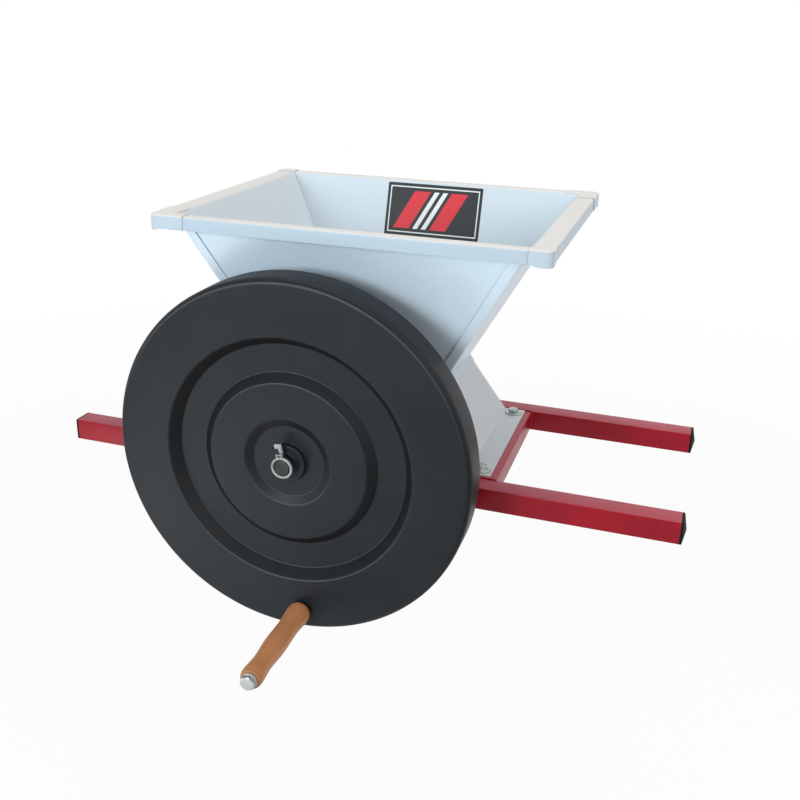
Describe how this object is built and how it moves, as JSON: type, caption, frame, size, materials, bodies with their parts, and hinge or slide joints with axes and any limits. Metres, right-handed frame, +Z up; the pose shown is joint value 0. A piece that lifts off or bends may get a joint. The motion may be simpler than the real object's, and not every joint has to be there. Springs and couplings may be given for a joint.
{
  "type": "grape crusher",
  "caption": "Hand-cranked grape crusher: flared sheet hopper over geared fluted rollers, on a railed frame that lies across a tub, turned by a large flywheel with a wooden grip.",
  "frame": {"origin": "centre of the frame in plan, level with the underside of the two rails, where they lie on a tub's rim", "axes": "+X along the rails, +Y away from the flywheel and across the rails, +Z up towards the hopper's mouth"},
  "size_m": [0.859, 0.6054, 0.5239],
  "materials": {
    "hopper_enamel": "gloss enamel, cool white",
    "rim_enamel": "gloss enamel, white",
    "casing_enamel": "gloss enamel, pale grey",
    "frame_paint": "gloss red paint",
    "cap_plastic": "moulded, matt black",
    "flywheel_plastic": "moulded, satin black",
    "zinc_plate": "bright zinc plate",
    "shaft_steel": "turned steel",
    "roller_aluminium": "cast, fluted",
    "nylon": "natural nylon",
    "grip_wood": "turned, varnished"
  },
  "bodies": {
    "frame": {"front_rail": "frame_paint", "rear_rail": "frame_paint", "left_cross_rail": "frame_paint", "right_cross_rail": "frame_paint", "front_left_end_cap": "cap_plastic", "front_right_end_cap": "cap_plastic", "rear_left_end_cap": "cap_plastic", "rear_right_end_cap": "cap_plastic", "hopper_left_panel": "hopper_enamel", "hopper_right_panel": "hopper_enamel", "hopper_front_panel": "hopper_enamel", "hopper_rear_panel": "hopper_enamel", "front_left_rim_corner": "rim_enamel", "front_right_rim_corner": "rim_enamel", "rear_left_rim_corner": "rim_enamel", "rear_right_rim_corner": "rim_enamel", "casing_left_panel": "casing_enamel", "casing_right_panel": "casing_enamel", "front_bearing_plate": "casing_enamel", "rear_bearing_plate": "casing_enamel", "flange_bolts": "zinc_plate", "flange_washers": "zinc_plate", "flange_nuts": "shaft_steel", "neck_rivets": "zinc_plate", "front_drive_bush": "nylon", "rear_drive_bush": "nylon", "front_driven_bush": "nylon", "rear_driven_bush": "nylon", "bush_screws": "zinc_plate", "bush_nuts": "zinc_plate"},
    "drive_train": {"drive_shaft": "shaft_steel", "drive_roller": "roller_aluminium", "drive_roller_pins": "zinc_plate", "drive_gear": "nylon", "drive_gear_pin": "zinc_plate", "drive_spacer": "zinc_plate", "drive_collar": "zinc_plate", "drive_collar_screw": "shaft_steel", "flywheel": "flywheel_plastic", "flywheel_spacer": "zinc_plate", "flywheel_dog_pin": "shaft_steel", "linch_pin": "zinc_plate", "handle_bolt": "zinc_plate", "handle_washers": "zinc_plate", "handle_nut": "zinc_plate"},
    "driven_train": {"driven_shaft": "shaft_steel", "driven_roller": "roller_aluminium", "driven_roller_pins": "zinc_plate", "driven_gear": "nylon", "driven_gear_pin": "zinc_plate", "driven_spacer": "zinc_plate", "driven_collar": "zinc_plate", "driven_collar_screw": "shaft_steel"},
    "linch_ring": {"linch_ring": "zinc_plate"},
    "grip": {"handle_grip": "grip_wood"}
  },
  "joints": [
    {"name": "crank_spin", "type": "hinge", "parent": "frame", "child": "drive_train", "pos_m": [-0.051, 0, 0.0665], "axis": [0, 1, 0], "continuous": true},
    {"name": "driven_spin", "type": "hinge", "parent": "frame", "child": "driven_train", "pos_m": [0.051, 0, 0.0665], "axis": [0, 1, 0], "continuous": true},
    {"name": "grip_spin", "type": "hinge", "parent": "drive_train", "child": "grip", "pos_m": [-0.03276, -0.317, -0.142], "axis": [0, 1, 0], "continuous": true},
    {"name": "linch_ring_swing", "type": "hinge", "parent": "drive_train", "child": "linch_ring", "pos_m": [-0.05411, -0.2556, 0.0825], "axis": [-0.9816, 0, -0.1908], "range_deg": [0, 120], "stiffness_Nm_per_rad": 0.05, "springref_deg": -20.05}
  ],
  "couplings": [
    {"joint": "driven_spin", "follows": "crank_spin", "ratio": -1}
  ]
}
